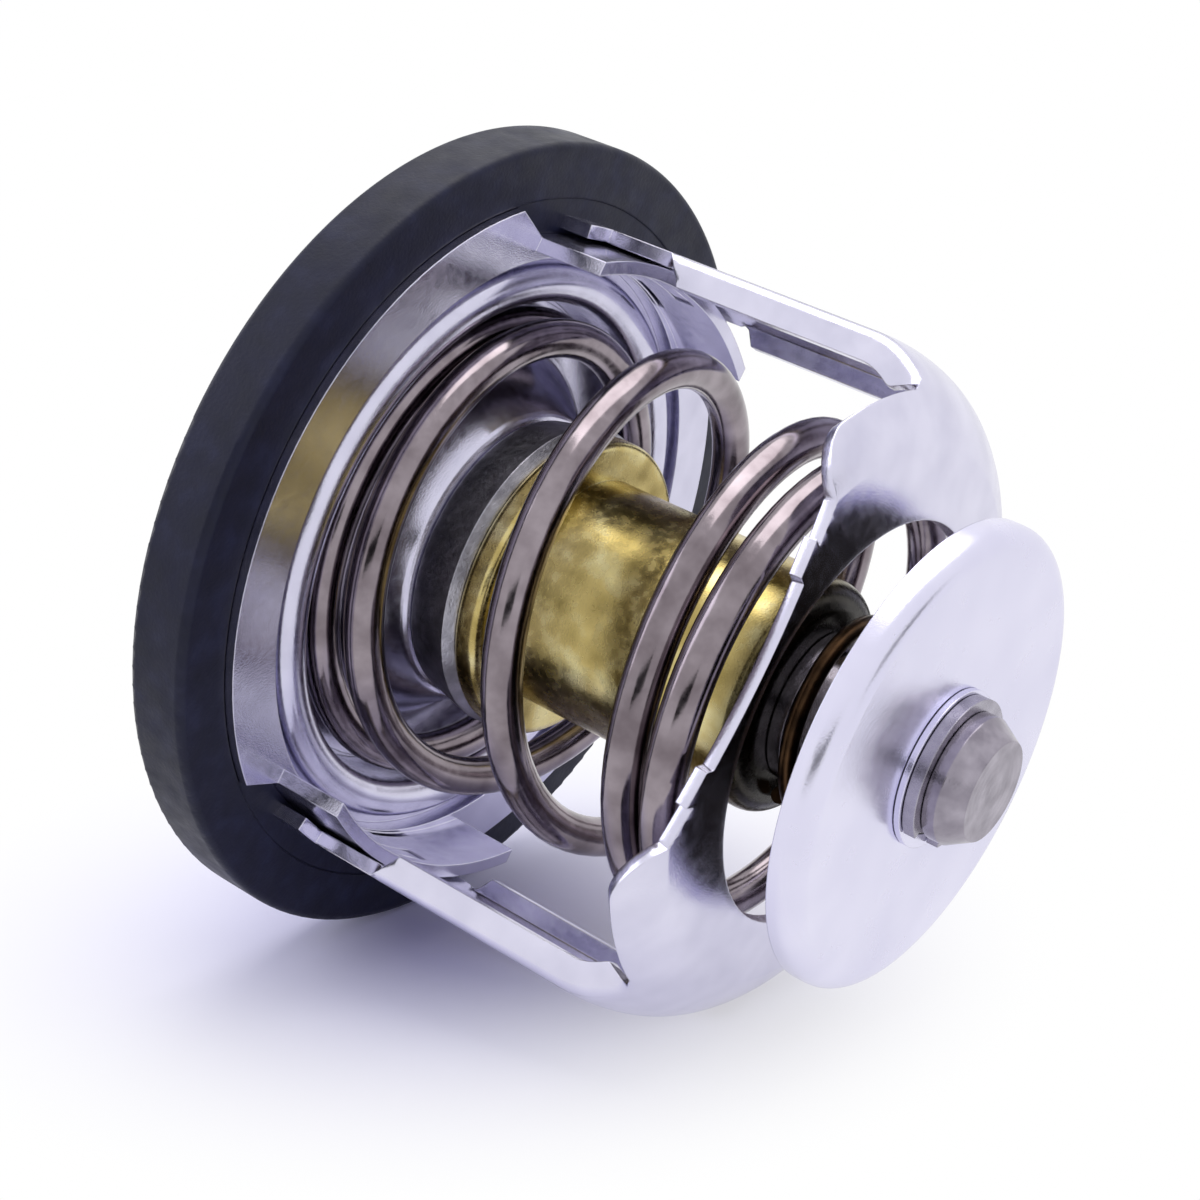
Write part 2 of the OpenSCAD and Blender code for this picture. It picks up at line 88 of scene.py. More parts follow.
# Sizes of the pressed frame in millimetres, from the valve's axis and the middle of the seal. A leg is
# measured along its outside: by height up to BEND_Z, and by the way round the bend from there to LEG_TOP.
SHEET = 0.9
HOLE_R = 13.5
CREASE_R = 18.0
BEND_R = 7.0
BEND_AT = 15.8
FACE_Z = 32.15
DISH = 0.7
CREASE_Z = FACE_Z - DISH
BEND_Z = CREASE_Z - math.sqrt(BEND_R ** 2 - (CREASE_R - BEND_AT) ** 2)
CAP_TURN = math.radians(43)
CAP_R = BEND_AT + BEND_R * math.cos(CAP_TURN)
LEG_TOP = BEND_Z + BEND_R * CAP_TURN
WAIST = 14.3
NIB_X = 7.3
NIB_HALF = 1.2
NIB_OUT = 0.5
LOBE_HALF = 15.2
LOBE_ROUND = 3.0
LEG_OUT = 22.8
LEG_CURVE = 32.0
LEG_HALF = 6.5
LEG_FILLET = 1.0
SIDE_LOW = 9.4
SIDE_DEPTH = 2.0
SIDE_RAMP = 1.4
SIDE_FADE = 1.8
SIDE_BEND = 0.6
ARC_IN = 0.29
FOOT_LOW = 1.85
FOOT_HIGH = 4.55
FOOT_HALF = 8.9

# Rows of the cap: rings by their distance from the crease, steps round the bend and across half a leg, rays
# past a leg in whole degrees, and finer ones over the lobes' ends and the nibs
CREASE_RINGS = (-4.0, -3.0, -2.0, -1.0, -0.4, -0.15, 0.0, 0.15, 0.4)
BEND_STEPS = 8
LEG_STEPS = 6
RAYS = range(22, 90)
FINE_RAYS = range(42, 70)
FINE_PARTS = 4

# Rows down a leg: steps round its bend, levels of its wall, steps of the ramp at its sides' lower ends,
# levels of its foot, and steps across the foot
LEG_BEND_STEPS = 14
WALL_LEVELS = (24.0, 23.0, 22.0, 21.5, 20.0, 18.0, 16.0, 14.0, 12.5)
RAMP_STEPS = 4
FOOT_LEVELS = (8.0, 6.2, FOOT_HIGH, 3.2, FOOT_LOW)
FOOT_STEPS = 3

# Sizes of the ears' backs in millimetres, with the distance of an ear's end from the valve's axis
EAR_OUT = 21.75
EAR_CURVE = 26.0
EAR_HALF = 11.0
EAR_END_R = 22.23

# Hooks in the ears' windows: level of the middle, how far it lies inside an ear's back, and half of the
# sizes through the sheet, across the leg and along it
HOOK_Z = 6.55
HOOK_IN = 0.3
HOOK_HALF = (0.6, 2.15, 0.65)

# Rubber in the flange's cut-outs: radii inside the flange's rim and of the seal's bore, half width, how far
# its inside moves out past an ear's end, levels of its foot, its step and its top, and steps along it
RIM_IN = 23.4
BORE_R = 24.41
LUG_HALF = 13.8
LUG_FLARE = 1.1
LUG_LEVELS = (-0.4, 0.47, 2.2)
LUG_STEPS = 24

# Rounding of the edges of the sheet and of a small piece, and from which angle an edge counts as sharp
SHEET_ROUND = 0.16 * MM
PIECE_ROUND = 0.05 * MM
ROUND_STEPS = 2
SHEET_EDGE = math.radians(60)
PIECE_EDGE = math.radians(40)
WIRE_EDGE = math.radians(50)

# Where the camera stands and looks, fitted to the photograph, its focal length and sensor in millimetres,
# and how near to it things are drawn
CAMERA_PLACE = Vector((0.10392, -0.12305, 0.04167))
CAMERA_AIM = Vector((-0.57580, 0.76934, -0.27650))
CAMERA_LENS = 73.05
CAMERA_SENSOR = 36.0
CAMERA_NEAR = 0.01

# Values of a noise between which its spots run from low to high, about how many light and dark rings the
# wave texture has in a unit, and samples of the shader that rounds edges
NOISE_LOW = 0.3
NOISE_HIGH = 0.7
RINGS_PER_UNIT = 2 * math.pi
EDGE_SAMPLES = 6

# Painted shade behind the disc, on the capsule's end and on the disc's back: its colour, and in millimetres
# the level where it begins, the level where it covers all, and how far out from the axis it goes. It fades
# over its last half millimetre.
SHADE_COLOUR = "#33302c"
# Painted shade on the capsule's end
CAPSULE_SHADE = (26.0, 28.6, 12.0)
# Painted shade on the disc's back
DISC_SHADE = (38.0, 37.7, 14.6)
SHADE_EDGE = 0.5

# Colour and level of the world's light, and how far in metres the table goes on and keeps a shadow
WHITE = (1, 1, 1, 1)
WORLD_TINT = "#c9c6ff"
WORLD_LEVEL = 0.62
TABLE_SIZE = 3.0
SHADOW_NEAR = 0.004
SHADOW_FAR = 0.042

AXIS = Vector(next(j["axis"] for j in frame["joints"] if j["name"] == "valve_lift")).normalized()
TILT = math.asin(-AXIS.z)
FROM_AXIS = Matrix.Rotation(math.pi / 2 + TILT, 3, "Y") @ Matrix.Rotation(-LEG_ROLL, 3, "Z")


def linear(code):
    """Linear RGBA of an sRGB hex colour."""
    parts = [int(code[i:i + 2], 16) / 255 for i in (1, 3, 5)]
    return (*[p / 12.92 if p <= 0.04045 else ((p + 0.055) / 1.055) ** 2.4 for p in parts], 1.0)


def levels(node):
    """Lowest and highest place of a CAD node along the valve's axis."""
    places = [v.co.dot(AXIS) for v in frame["nodes"][node].data.vertices]
    return min(places), max(places)


def add(owner, kind, settings=None, links=None, stops=()):
    """One shader node with its settings, links from sockets to its inputs and, for a ramp, its stops."""
    node = owner.node_tree.nodes.new(kind)
    for name, value in (settings or {}).items():
        if name in node.inputs:
            node.inputs[name].default_value = value
        else:
            setattr(node, name, value)
    join(owner, node, links or {})
    for place, code in stops[1:-1]:
        node.color_ramp.elements.new(place).color = linear(code)
    for end in (0, -1) if stops else ():
        node.color_ramp.elements[end].position = stops[end][0]
        node.color_ramp.elements[end].color = linear(stops[end][1])
    return node


def join(owner, node, links):
    """Links sockets to a node's inputs, which go by name or by number."""
    for name, socket in links.items():
        owner.node_tree.links.new(socket, node.inputs[name])


def new_material(name, settings):
    """Material with its shader's settings, and the place in metres with Z along the valve's axis."""
    material = bpy.data.materials.new(name)
    material.use_nodes = True
    shader = material.node_tree.nodes["Principled BSDF"]
    for key, value in settings.items():
        shader.inputs[key].default_value = value
    place = add(material, "ShaderNodeTexCoord").outputs["Object"]
    turn = FROM_AXIS.inverted().to_euler()
    turned = add(material, "ShaderNodeMapping", {"Rotation": turn}, {"Vector": place}).outputs["Vector"]
    return material, shader, turned


def mottled(material, place, spot_mm, detail, low=0.0, high=1.0):
    """Soft spots of a real size that run from a low to a high value."""
    settings = {"Scale": PER_MM / spot_mm, "Detail": detail}
    spots = add(material, "ShaderNodeTexNoise", settings, {"Vector": place}).outputs["Fac"]
    settings = {"From Min": NOISE_LOW, "From Max": NOISE_HIGH, "To Min": low, "To Max": high}
    return add(material, "ShaderNodeMapRange", settings, {"Value": spots}).outputs["Result"]


def relief(material, height, depth_mm, edge_mm=0.0):
    """Relief of a real depth, over edges that catch the light along a real radius."""
    links = {"Height": height}
    if edge_mm:
        settings = {"Radius": edge_mm * MM, "samples": EDGE_SAMPLES}
        links["Normal"] = add(material, "ShaderNodeBevel", settings).outputs["Normal"]
    return add(material, "ShaderNodeBump", {"Distance": depth_mm * MM}, links).outputs["Normal"]


def painted_shade(material, place, colour, bare, covered, reach):
    """Painted shade over a colour, from a bare level to a fully shaded one and within a reach of the axis.
    """
    parts = add(material, "ShaderNodeSeparateXYZ", links={"Vector": place}).outputs
    settings = {"From Min": bare * MM, "From Max": covered * MM}
    past = add(material, "ShaderNodeMapRange", settings, {"Value": parts["Z"]}).outputs["Result"]
    links = {"X": parts["X"], "Y": parts["Y"]}
    across = add(material, "ShaderNodeCombineXYZ", links=links).outputs["Vector"]
    settings = {"operation": "LENGTH"}
    radius = add(material, "ShaderNodeVectorMath", settings, {"Vector": across}).outputs["Value"]
    settings = {"From Min": reach * MM, "From Max": (reach - SHADE_EDGE) * MM}
    within = add(material, "ShaderNodeMapRange", settings, {"Value": radius}).outputs["Result"]
    settings = {"operation": "MULTIPLY"}
    share = add(material, "ShaderNodeMath", settings, {0: past, 1: within}).outputs["Value"]
    settings = {"Color2": linear(SHADE_COLOUR)}
    return add(material, "ShaderNodeMixRGB", settings, {"Fac": share, "Color1": colour}).outputs["Color"]


def metal(name, tones, rough, spot_mm=3.0, grain_mm=0.12, depth_mm=0.003, edge_mm=0.12,
          rings_mm=0.0, shade_mm=None):
    """Metal with soft tones and fine grain, and with turned rings or painted shade if they are given."""
    material, shader, place = new_material(name, {"Metallic": 1.0})
    height = mottled(material, place, grain_mm, detail=2.0)
    if rings_mm:
        settings = {"wave_type": "RINGS", "rings_direction": "Z", "Distortion": 0.6, "Detail": 1.0,
                    "Scale": PER_MM / (rings_mm * RINGS_PER_UNIT)}
        rings = add(material, "ShaderNodeTexWave", settings, {"Vector": place}).outputs["Fac"]
        settings = {"operation": "ADD"}
        height = add(material, "ShaderNodeMath", settings, {0: rings, 1: height}).outputs["Value"]
    tone = mottled(material, place, spot_mm, detail=3.0)
    steps = len(tones) - 1
    stops = [(i / steps, code) for i, code in enumerate(tones)]
    colour = add(material, "ShaderNodeValToRGB", links={"Fac": tone}, stops=stops).outputs["Color"]
    if shade_mm:
        colour = painted_shade(material, place, colour, *shade_mm)
    join(material, shader, {
        "Base Color": colour,
        "Roughness": mottled(material, place, spot_mm / 4, 3.0, *rough),
        "Normal": relief(material, height, depth_mm, edge_mm)})
    return material


def seal_rubber():
    """Moulded nitrile rubber: near black, with a faint bluish bloom and a dull sheen along its edges."""
    material, shader, place = new_material("moulded_nitrile_rubber", {"Specular IOR Level": 0.24})
    bloom = mottled(material, place, spot_mm=2.2, detail=6.0)
    stops = [(0.0, "#171928"), (0.6, "#1c1e30"), (1.0, "#24273b")]
    colour = add(material, "ShaderNodeValToRGB", links={"Fac": bloom}, stops=stops).outputs["Color"]
    rough = mottled(material, place, spot_mm=1.5, detail=4.0, low=0.4, high=0.55)
    grain = mottled(material, place, spot_mm=0.25, detail=4.0)
    join(material, shader, {
        "Base Color": colour,
        "Roughness": rough,
        "Normal": relief(material, grain, depth_mm=0.008, edge_mm=0.25)})
    return material


def wax():
    """Wax and copper powder pressed into a cake: dull orange brown with a fine grain."""
    material, shader, place = new_material("pressed_copper_wax", {"Specular IOR Level": 0.3})
    grain = mottled(material, place, spot_mm=0.3, detail=4.0)
    stops = [(0.0, "#a5683a"), (1.0, "#cf9a62")]
    colour = add(material, "ShaderNodeValToRGB", links={"Fac": grain}, stops=stops).outputs["Color"]
    join(material, shader, {
        "Base Color": colour,
        "Roughness": mottled(material, place, spot_mm=0.3, detail=4.0, low=0.5, high=0.7),
        "Normal": relief(material, grain, depth_mm=0.03)})
    return material


def dress(materials):
    """Gives each CAD node its material."""
    for name, material in materials.items():
        data = frame["nodes"][name].data
        data.materials.clear()
        data.materials.append(material)


def new_object(name, data):
    """A new object of the scene with its data."""
    obj = bpy.data.objects.new(name, data)
    bpy.context.scene.collection.objects.link(obj)
    return obj


def wire_mesh(name, path, wire, sides):
    """Round wire swept along a path of centres and outward directions, with flat ends."""
    vertices = []
    for centre, out in path:
        for k in range(sides):
            a = 2 * math.pi * k / sides
            local = centre + wire / 2 * (math.cos(a) * out + math.sin(a) * Vector((0, 0, 1)))
            vertices.append(FROM_AXIS @ local)
    faces = []
    for i in range(len(path) - 1):
        for k in range(sides):
            a, b = i * sides + k, i * sides + (k + 1) % sides
            faces.append((a, b, b + sides, a + sides))
    last = (len(path) - 1) * sides
    faces.append(tuple(range(sides - 1, -1, -1)))
    faces.append(tuple(last + k for k in range(sides)))
    mesh = bpy.data.meshes.new(name)
    mesh.from_pydata(vertices, [], faces)
    mesh.shade_smooth()
    mesh.set_sharp_from_angle(angle=WIRE_EDGE)
    return new_object(name, mesh)


def eased(turns):
    """Turns counted from 0, with the start eased in over COIL_EASE each way."""
    if abs(turns) < COIL_EASE:
        return (turns + COIL_EASE) ** 2 / (4 * COIL_EASE)
    return max(turns, 0.0)


def main_spring():
    """Main spring: closed turns at both ends and bowed open turns between them."""
    low, high = levels("main_spring")
    rise = high - low - MAIN_WIRE
    end_pitch = END_PITCH * MAIN_WIRE
    open_pitch = (rise - 2 * END_TURNS * end_pitch) / OPEN_TURNS
    turns = 2 * END_TURNS + OPEN_TURNS
    path = []
    for k in range(round(turns * MAIN_RINGS) + 1):
        turn = k / MAIN_RINGS
        opened = eased(turn - END_TURNS) - eased(turn - END_TURNS - OPEN_TURNS)
        angle = math.pi + 2 * math.pi * turn
        out = Vector((math.cos(angle), math.sin(angle), 0))
        height = low + MAIN_WIRE / 2 + end_pitch * turn + (open_pitch - end_pitch) * opened
        bow = COIL_BOW * math.sin(math.pi * opened / OPEN_TURNS)
        path.append((MAIN_COIL_R * out + Vector((-bow, 0, height)), out))
    spring = wire_mesh("main_spring_wire", path, MAIN_WIRE, MAIN_SIDES)
    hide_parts("main_spring")
    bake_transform(spring)
    return spring


def bypass_spring():
    """Conical spring between the capsule's end and the bypass disc."""
    low, high = levels("bypass_spring")
    count = round(BYPASS_TURNS * BYPASS_RINGS)
    path = []
    for k in range(count + 1):
        part = k / count
        angle = 2 * math.pi * BYPASS_TURNS * part
        out = Vector((math.cos(angle), math.sin(angle), 0))
        radius = BYPASS_LOW_R + (BYPASS_HIGH_R - BYPASS_LOW_R) * part
        height = low + BYPASS_WIRE / 2 + (high - low - BYPASS_WIRE) * part
        path.append((radius * out + Vector((0, 0, height)), out))
    spring = wire_mesh("bypass_spring_wire", path, BYPASS_WIRE, BYPASS_SIDES)
    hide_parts("bypass_spring")
    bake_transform(spring)
    return spring


def leg_wall(across):
    """Distance of a leg's outside from the axis, at a place across the leg."""
    return LEG_OUT - LEG_CURVE + math.sqrt(LEG_CURVE ** 2 - across ** 2)


def cap_edge(turn):
    """Radius of the cap's outline in a direction: round over the lobes, straight between them, with nibs."""
    x, y = abs(math.cos(turn)), abs(math.sin(turn))
    lobe_y = LOBE_HALF - LOBE_ROUND
    lobe_x = math.sqrt((CAP_R - LOBE_ROUND) ** 2 - lobe_y ** 2)
    if y * lobe_x <= x * lobe_y:
        return CAP_R
    reach = [WAIST / y]
    if abs((WAIST + NIB_OUT) / y * x - NIB_X) <= NIB_HALF:
        reach.append((WAIST + NIB_OUT) / y)
    along = x * lobe_x + y * lobe_y
    aside = abs(y * lobe_x - x * lobe_y)
    if aside < LOBE_ROUND:
        reach.append(along + math.sqrt(LOBE_ROUND ** 2 - aside ** 2))
    return max(reach)


def cap_height(radius):
    """Height of the cap's outside: the dished end face, and the bend beyond its crease."""
    if radius <= CREASE_R:
        return FACE_Z - DISH * (radius - HOLE_R) / (CREASE_R - HOLE_R)
    return BEND_Z + math.sqrt(BEND_R ** 2 - (radius - BEND_AT) ** 2)


def cap_rows():
    """Rings of the cap, as rows of places from the hole to the outline."""
    leg_top = [math.asin(k / LEG_STEPS * (LEG_HALF + LEG_FILLET) / CAP_R) for k in range(LEG_STEPS + 1)]
    rest = [math.radians(a) for a in RAYS]
    fine = [math.radians(a + part / FINE_PARTS) for a in FINE_RAYS for part in range(FINE_PARTS)]
    quarter = sorted(leg_top + rest + fine)
    half = quarter + [math.pi / 2] + [math.pi - a for a in reversed(quarter)]
    turns = half + [math.pi + a for a in half[1:]]
    radii = [HOLE_R] + [CREASE_R + distance for distance in CREASE_RINGS]
    start = math.acos((radii[-1] - BEND_AT) / BEND_R)
    for k in range(1, BEND_STEPS + 1):
        radii.append(BEND_AT + BEND_R * math.cos(start + (CAP_TURN - start) * k / BEND_STEPS))
    rows = []
    for radius in radii:
        kept = [min(radius, cap_edge(turn)) for turn in turns]
        rows.append([(r * math.cos(a), r * math.sin(a), cap_height(r)) for r, a in zip(kept, turns)])
    return rows


def smooth(share):
    """Eases a share between 0 and 1."""
    share = max(0.0, min(1.0, share))
    return share * share * (3 - 2 * share)


def leg_place(run, across, inward=0.0):
    """Place on a leg on the +X side: up its straight wall, then along the bend to the lobe's edge."""
    turn = max(run - BEND_Z, 0) / BEND_R
    wall = leg_wall(across)
    height = min(run, BEND_Z) + BEND_R * math.sin(turn)
    if turn > 0:
        flat = 1 - smooth(turn / CAP_TURN)
        round_wall = math.sqrt(LEG_OUT ** 2 - across ** 2)
        radius = BEND_AT + BEND_R * math.cos(turn)
        wall = math.sqrt(radius ** 2 - across ** 2) + flat * (wall - round_wall)
    return wall - inward * math.cos(turn), height - inward * math.sin(turn)


def leg_half(run):
    """Half width of a leg, with a fillet where it meets the lobe's edge."""
    short = max(LEG_FILLET - (LEG_TOP - run), 0)
    return LEG_HALF + LEG_FILLET - math.sqrt(LEG_FILLET ** 2 - short ** 2)


def side_depth(run):
    """How far a leg's sides are turned in."""
    low = max(0.0, min(1.0, (run - SIDE_LOW) / SIDE_RAMP))
    return SIDE_DEPTH * low * smooth((LEG_TOP - run) / SIDE_FADE)


def leg_row(run):
    """Places across a leg between its edges."""
    reach = leg_half(run) - min(SIDE_BEND, side_depth(run))
    across = [i / LEG_STEPS * reach for i in range(-LEG_STEPS, LEG_STEPS + 1)]
    return [(x, y, z) for y in across for x, z in [leg_place(run, y)]]


def side_row(run, edge):
    """Places round the bend of a leg's edge and down its turned-in side."""
    depth = side_depth(run)
    bend = min(SIDE_BEND, depth)
    half = leg_half(run)
    round_bend = [(half - bend, None), (half - ARC_IN * bend, ARC_IN * bend), (half, bend),
                  (half, (bend + depth) / 2), (half, depth)]
    row = []
    for y, inward in round_bend:
        x, z = leg_place(run, y) if inward is None else leg_place(run, half, inward)
        row.append((x, edge * y, z))
    return row


def foot_row(run, edge):
    """Places across one side of a leg's foot."""
    across = [LEG_HALF + (FOOT_HALF - LEG_HALF) * t / FOOT_STEPS for t in range(FOOT_STEPS + 1)]
    return [(leg_wall(y), edge * y, run) for y in across]


def placed(row, way):
    """A row as it is on the leg on the +X side or, with way -1, half a turn round the axis on the other."""
    return [(way * x, way * y, z) for x, y, z in row]


def round_edges(obj, width, angle):
    """Rounds the edges of an object that are sharper than an angle."""
    rounded = obj.modifiers.new("rounded_edges", "BEVEL")
    rounded.width = width
    rounded.segments = ROUND_STEPS
    rounded.angle_limit = angle


def pressed_frame():
    """The frame as one pressed sheet: cap, lobes, legs with turned-in sides, and feet."""
    mesh = bmesh.new()
    found = {}

    def corner(place):
        key = tuple(round(v, 4) for v in place)
        if key not in found:
            found[key] = mesh.verts.new(FROM_AXIS @ Vector(place) * MM)
        return found[key]

    def skin(rows):
        for upper, lower in zip(rows, rows[1:]):
            for i in range(len(upper) - 1):
                loop = []
                for place in (upper[i], upper[i + 1], lower[i + 1], lower[i]):
                    vertex = corner(place)
                    if vertex not in loop:
                        loop.append(vertex)
                if len(loop) > 2:
                    mesh.faces.new(loop)

    skin(cap_rows())
    runs = [LEG_TOP - k / LEG_BEND_STEPS * (LEG_TOP - BEND_Z) for k in range(LEG_BEND_STEPS + 1)]
    runs += WALL_LEVELS
    runs += [SIDE_LOW + SIDE_RAMP * k / RAMP_STEPS for k in range(RAMP_STEPS, -1, -1)]
    runs += FOOT_LEVELS
    for way in (1, -1):
        skin([placed(leg_row(run), way) for run in runs])
        for edge in (1, -1):
            skin([placed(side_row(run, edge), way) for run in runs if run >= SIDE_LOW])
            skin([placed(foot_row(run, edge), way) for run in runs if run <= FOOT_HIGH])
    bmesh.ops.recalc_face_normals(mesh, faces=mesh.faces)
    up = max(mesh.faces, key=lambda f: f.calc_center_median().dot(AXIS))
    if up.normal.dot(AXIS) < 0:
        bmesh.ops.reverse_faces(mesh, faces=mesh.faces)
    data = bpy.data.meshes.new("pressed_frame")
    mesh.to_mesh(data)
    mesh.free()
    data.shade_smooth()
    obj = new_object("pressed_frame", data)
    sheet = obj.modifiers.new("sheet", "SOLIDIFY")
    sheet.thickness = SHEET * MM
    sheet.offset = -1
    sheet.use_even_offset = True
    round_edges(obj, SHEET_ROUND, SHEET_EDGE)
    obj.modifiers.new("flat_faces", "WEIGHTED_NORMAL")
    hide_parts("lower_frame")
    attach(obj, "body")
    return obj


def solid(name, corners, faces):
    """A closed piece from corners in millimetres, riding on the body, with rounded edges."""
    data = bpy.data.meshes.new(name)
    data.from_pydata([FROM_AXIS @ Vector(c) * MM for c in corners], [], faces)
    mesh = bmesh.new()
    mesh.from_mesh(data)
    bmesh.ops.recalc_face_normals(mesh, faces=mesh.faces)
    mesh.to_mesh(data)
    mesh.free()
    data.shade_smooth()
    data.set_sharp_from_angle(angle=PIECE_EDGE)
    obj = new_object(name, data)
    round_edges(obj, PIECE_ROUND, PIECE_EDGE)
    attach(obj, "body")
    return obj


def frame_hook(name, way):
    """Tongue pressed out of a leg into the window of its ear."""
    middle = Vector((way * (EAR_OUT - HOOK_IN), 0, HOOK_Z))
    corners = [middle + Vector((i * HOOK_HALF[0], j * HOOK_HALF[1], k * HOOK_HALF[2]))
               for i in (-1, 1) for j in (-1, 1) for k in (-1, 1)]
    faces = [(0, 1, 3, 2), (4, 6, 7, 5), (0, 4, 5, 1), (2, 3, 7, 6), (0, 2, 6, 4), (1, 5, 7, 3)]
    return solid(name, corners, faces)


def seal_lug(name, way):
    """Rubber of the seal that fills the flange's cut-out behind an ear."""
    low, step, top = LUG_LEVELS
    end = math.asin(LUG_HALF / BORE_R)
    ear_end = math.asin(EAR_HALF / EAR_END_R)
    centre = EAR_OUT - EAR_CURVE
    corners = []
    for k in range(LUG_STEPS + 1):
        turn = end * (2 * k / LUG_STEPS - 1)
        held = min(abs(turn), ear_end)
        inside = centre * math.cos(held) + math.sqrt(EAR_CURVE ** 2 - (centre * math.sin(held)) ** 2)
        inside += max(abs(turn) - ear_end, 0) / (end - ear_end) * LUG_FLARE
        section = ((inside, low), (RIM_IN, low), (RIM_IN, step),
                   (BORE_R, step), (BORE_R, top), (inside, top))
        for radius, level in section:
            corners.append((way * radius * math.cos(turn), way * radius * math.sin(turn), level))
    sides = len(section)
    faces = [tuple(range(sides)), tuple(sides * LUG_STEPS + i for i in range(sides))]
    for k in range(LUG_STEPS):
        for i in range(sides):
            a, b = sides * k + i, sides * k + (i + 1) % sides
            faces.append((a, b, b + sides, a + sides))
    return solid(name, corners, faces)


def seen_rays(owner):
    """1 for the rays that show the background: camera, glossy and transmission rays."""
    path = add(owner, "ShaderNodeLightPath")
    seen = path.outputs["Is Camera Ray"]
    for name in ("Is Glossy Ray", "Is Transmission Ray"):
        links = {0: seen, 1: path.outputs[name]}
        seen = add(owner, "ShaderNodeMath", {"operation": "MAXIMUM"}, links).outputs["Value"]
    return seen


def world_light():
    """Pale violet light from all round, seen as white behind the part."""
    world = bpy.data.worlds.new("studio")
    world.use_nodes = True
    bpy.context.scene.world = world
    background = world.node_tree.nodes["Background"]
    background.inputs["Color"].default_value = linear(WORLD_TINT)
    background.inputs["Strength"].default_value = WORLD_LEVEL
    white = add(world, "ShaderNodeBackground", {"Color": WHITE})
    links = {0: seen_rays(world), 1: background.outputs["Background"], 2: white.outputs["Background"]}
    mix = add(world, "ShaderNodeMixShader", links=links)
    join(world, world.node_tree.nodes["World Output"], {"Surface": mix.outputs["Shader"]})


def white_table():
    """White laminate that keeps the part's shadow near it and is plain white further out."""
    settings = {"Base Color": linear("#f5f5ff"), "Roughness": 0.6, "Specular IOR Level": 0.2}
    material, shader, place = new_material("white_laminate_table", settings)
    settings = {"operation": "LENGTH"}
    far = add(material, "ShaderNodeVectorMath", settings, {"Vector": place}).outputs["Value"]
    settings = {"interpolation_type": "SMOOTHSTEP", "From Min": SHADOW_NEAR, "From Max": SHADOW_FAR}
    past = add(material, "ShaderNodeMapRange", settings, {"Value": far}).outputs["Result"]
    settings = {"operation": "MULTIPLY"}
    fade = add(material, "ShaderNodeMath", settings, {0: past, 1: seen_rays(material)}).outputs["Value"]
    white = add(material, "ShaderNodeEmission", {"Color": WHITE, "Strength": 1.0}).outputs["Emission"]
    mix = add(material, "ShaderNodeMixShader", links={0: fade, 1: shader.outputs["BSDF"], 2: white})
    join(material, material.node_tree.nodes["Material Output"], {"Surface": mix.outputs["Shader"]})
    bpy.ops.mesh.primitive_plane_add(size=TABLE_SIZE, location=(0, 0, cad_bounds[0][2]))
    table = bpy.context.object
    table.name = "table"
    table.data.materials.append(material)


def table_and_light():
    """White table, soft lamps overhead and on the left, and black cards that the metal mirrors."""
    bpy.context.scene.view_settings.view_transform = "Standard"
    world_light()
    white_table()
    lamp("overhead", Vector((0.02, 0.12, 0.45)), size=0.45, power=1.5, code="#fffdf8")
    lamp("left", Vector((-0.38, -0.16, 0.22)), size=0.30, power=0.5, code="#f4f4ff")
    card("low_front", Vector((0.16, -0.40, 0.02)), width=0.30, height=0.10)
    card("right", Vector((0.40, 0.12, -0.02)), width=0.20, height=0.10)


def lamp(name, place, size, power, code):
    """Square soft lamp that points at the part."""
    data = bpy.data.lights.new(name, "AREA")
    data.size = size
    data.energy = power
    data.color = linear(code)[:3]
    obj = new_object(name, data)
    obj.location = place
    obj.rotation_euler = (-place).to_track_quat("-Z", "Y").to_euler()


def card(name, place, width, height):
    """Black card that only shows in reflections."""
    bpy.ops.mesh.primitive_plane_add(size=1.0, location=place)
    obj = bpy.context.object
    obj.name = name
    obj.scale = (width, height, 1)
    obj.rotation_euler = (-place).to_track_quat("Z", "Y").to_euler()
    obj.visible_camera = False
    obj.visible_diffuse = False
    obj.visible_shadow = False
    settings = {"Base Color": linear("#0a0a0c"), "Roughness": 0.9}
    material, _, _ = new_material("black_flock_card", settings)
    obj.data.materials.append(material)


def camera():
    """Camera that sees the part as the photograph does."""
    data = bpy.data.cameras.new("camera")
    data.lens = CAMERA_LENS
    data.sensor_width = CAMERA_SENSOR
    data.clip_start = CAMERA_NEAR
    obj = new_object("camera", data)
    obj.location = CAMERA_PLACE
    obj.rotation_euler = CAMERA_AIM.to_track_quat("-Z", "Y").to_euler()
    bpy.context.scene.camera = obj


camera()
table_and_light()

# Zinc-plated pressed steel: a smooth pale violet grey with soft reflections
plated = metal("zinc_plated_pressed_steel", ("#c9c7dc", "#d8d6ea"), (0.16, 0.26))
# Bright plated strip, pressed and folded: a little paler, and as smooth
frame_steel = metal("bright_plated_strip_steel", ("#cfcde2", "#dddbee"), (0.16, 0.26))
# Plated disc with a dull face: wide, even highlights, and painted shade on its back
disc_steel = metal("dull_plated_disc_steel", ("#d9d7ee", "#e4e2f6"), (0.2, 0.28),
                   spot_mm=6.0, shade_mm=DISC_SHADE)
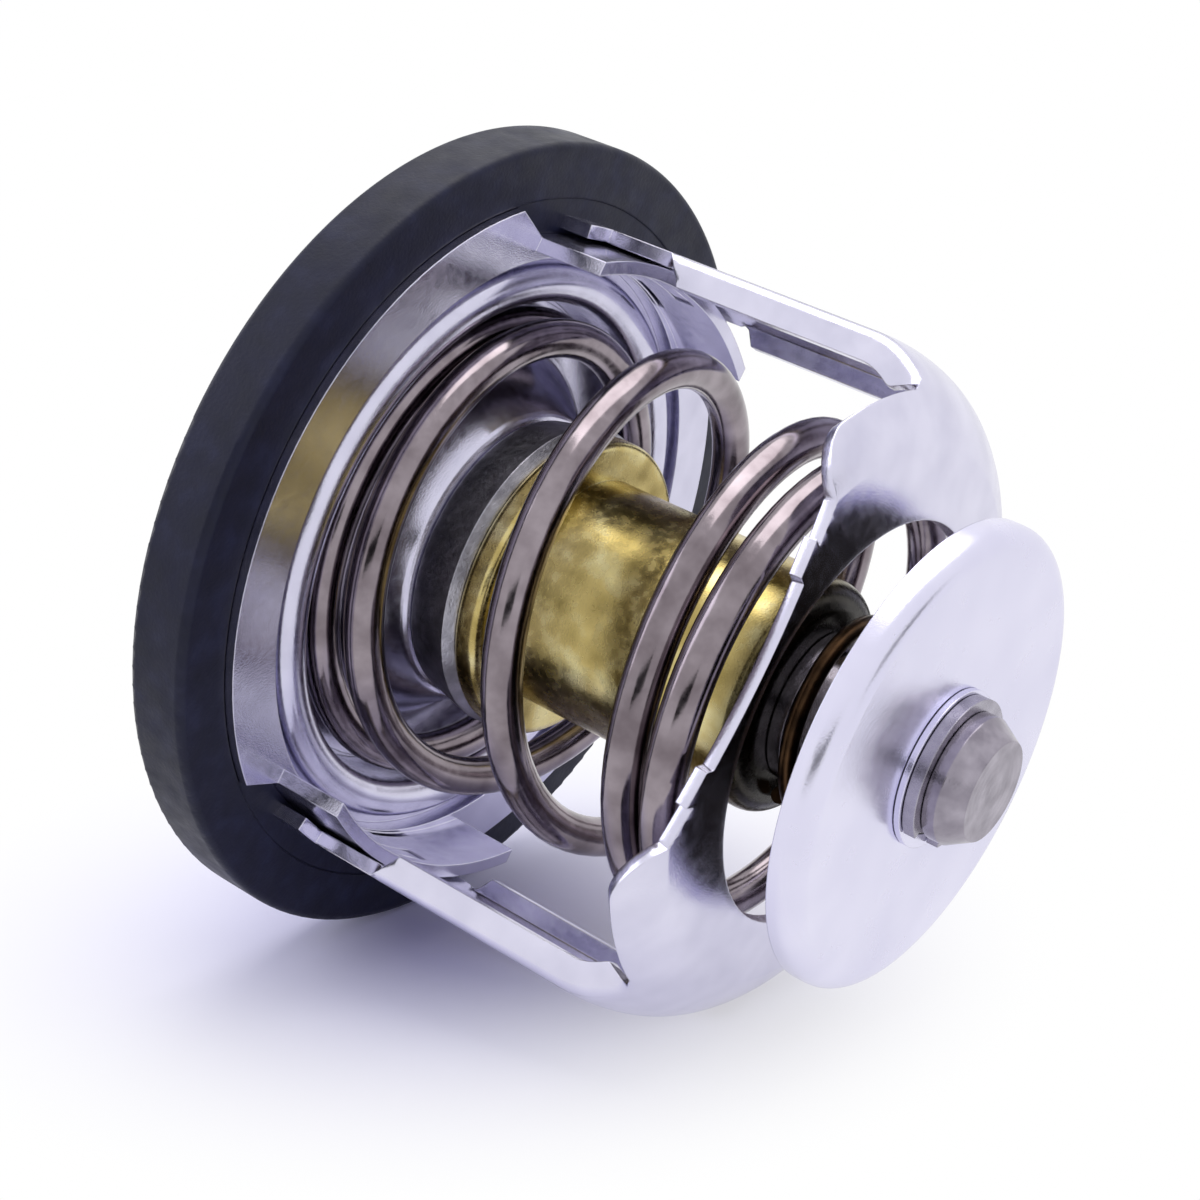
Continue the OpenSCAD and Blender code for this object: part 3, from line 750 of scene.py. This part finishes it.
# Drawn spring wire: brownish grey, with long highlights down the wire
spring_steel = metal("drawn_spring_wire", ("#73696f", "#9b9198"), (0.12, 0.2),
                     spot_mm=2.5, grain_mm=0.25, depth_mm=0.001)
# Drawn brass, tarnished in patches: pale gold with olive shades, and painted shade on the capsule's end
brass = metal("drawn_brass", ("#94824a", "#c0ad70", "#e2d6a0"), (0.18, 0.32),
              spot_mm=2.4, shade_mm=CAPSULE_SHADE)
# Turned and nickel-plated pin: grey, with fine rings from the tool
spindle_steel = metal("turned_nickel_plated_steel", ("#857f8b", "#aaa4b0"), (0.16, 0.26),
                      spot_mm=1.5, rings_mm=0.25)
# Sintered steel: grey and grainy, with soft blurred reflections
dark_steel = metal("sintered_steel", ("#9a99a4", "#c4c3ce"), (0.32, 0.46),
                   spot_mm=1.2, grain_mm=0.2, depth_mm=0.012)
# Bright hardened clip: grey with small highlights
clip_steel = metal("hardened_clip_steel", ("#8f8b98", "#b3afbc"), (0.2, 0.34), spot_mm=1.5)
# Spring wire gone dark in the coolant: nearly black brown with a dull shine
bypass_wire = metal("darkened_spring_wire", ("#2c2018", "#5b432e"), (0.28, 0.42),
                    spot_mm=1.5, edge_mm=0.0)
rubber = seal_rubber()

dress({
    "seal_ring": rubber, "flange": plated, "bridge": plated, "piston_seat": spindle_steel,
    "piston": spindle_steel, "lower_frame": frame_steel, "main_spring": spring_steel, "valve_plate": plated,
    "guide_ring": dark_steel, "capsule": brass, "capsule_cover": brass, "piston_wiper": rubber,
    "backing_washer": plated, "boot": rubber, "wax_charge": wax(), "spindle": spindle_steel,
    "thrust_washer": disc_steel, "spindle_clip": clip_steel, "bypass_disc": disc_steel,
    "bypass_spring": bypass_wire})
main_spring().data.materials.append(spring_steel)
bypass_spring().data.materials.append(bypass_wire)
pressed_frame().data.materials.append(frame_steel)
for side, way in (("up", 1), ("down", -1)):
    frame_hook("frame_hook_" + side, way).data.materials.append(frame_steel)
    seal_lug("seal_lug_" + side, way).data.materials.append(rubber)
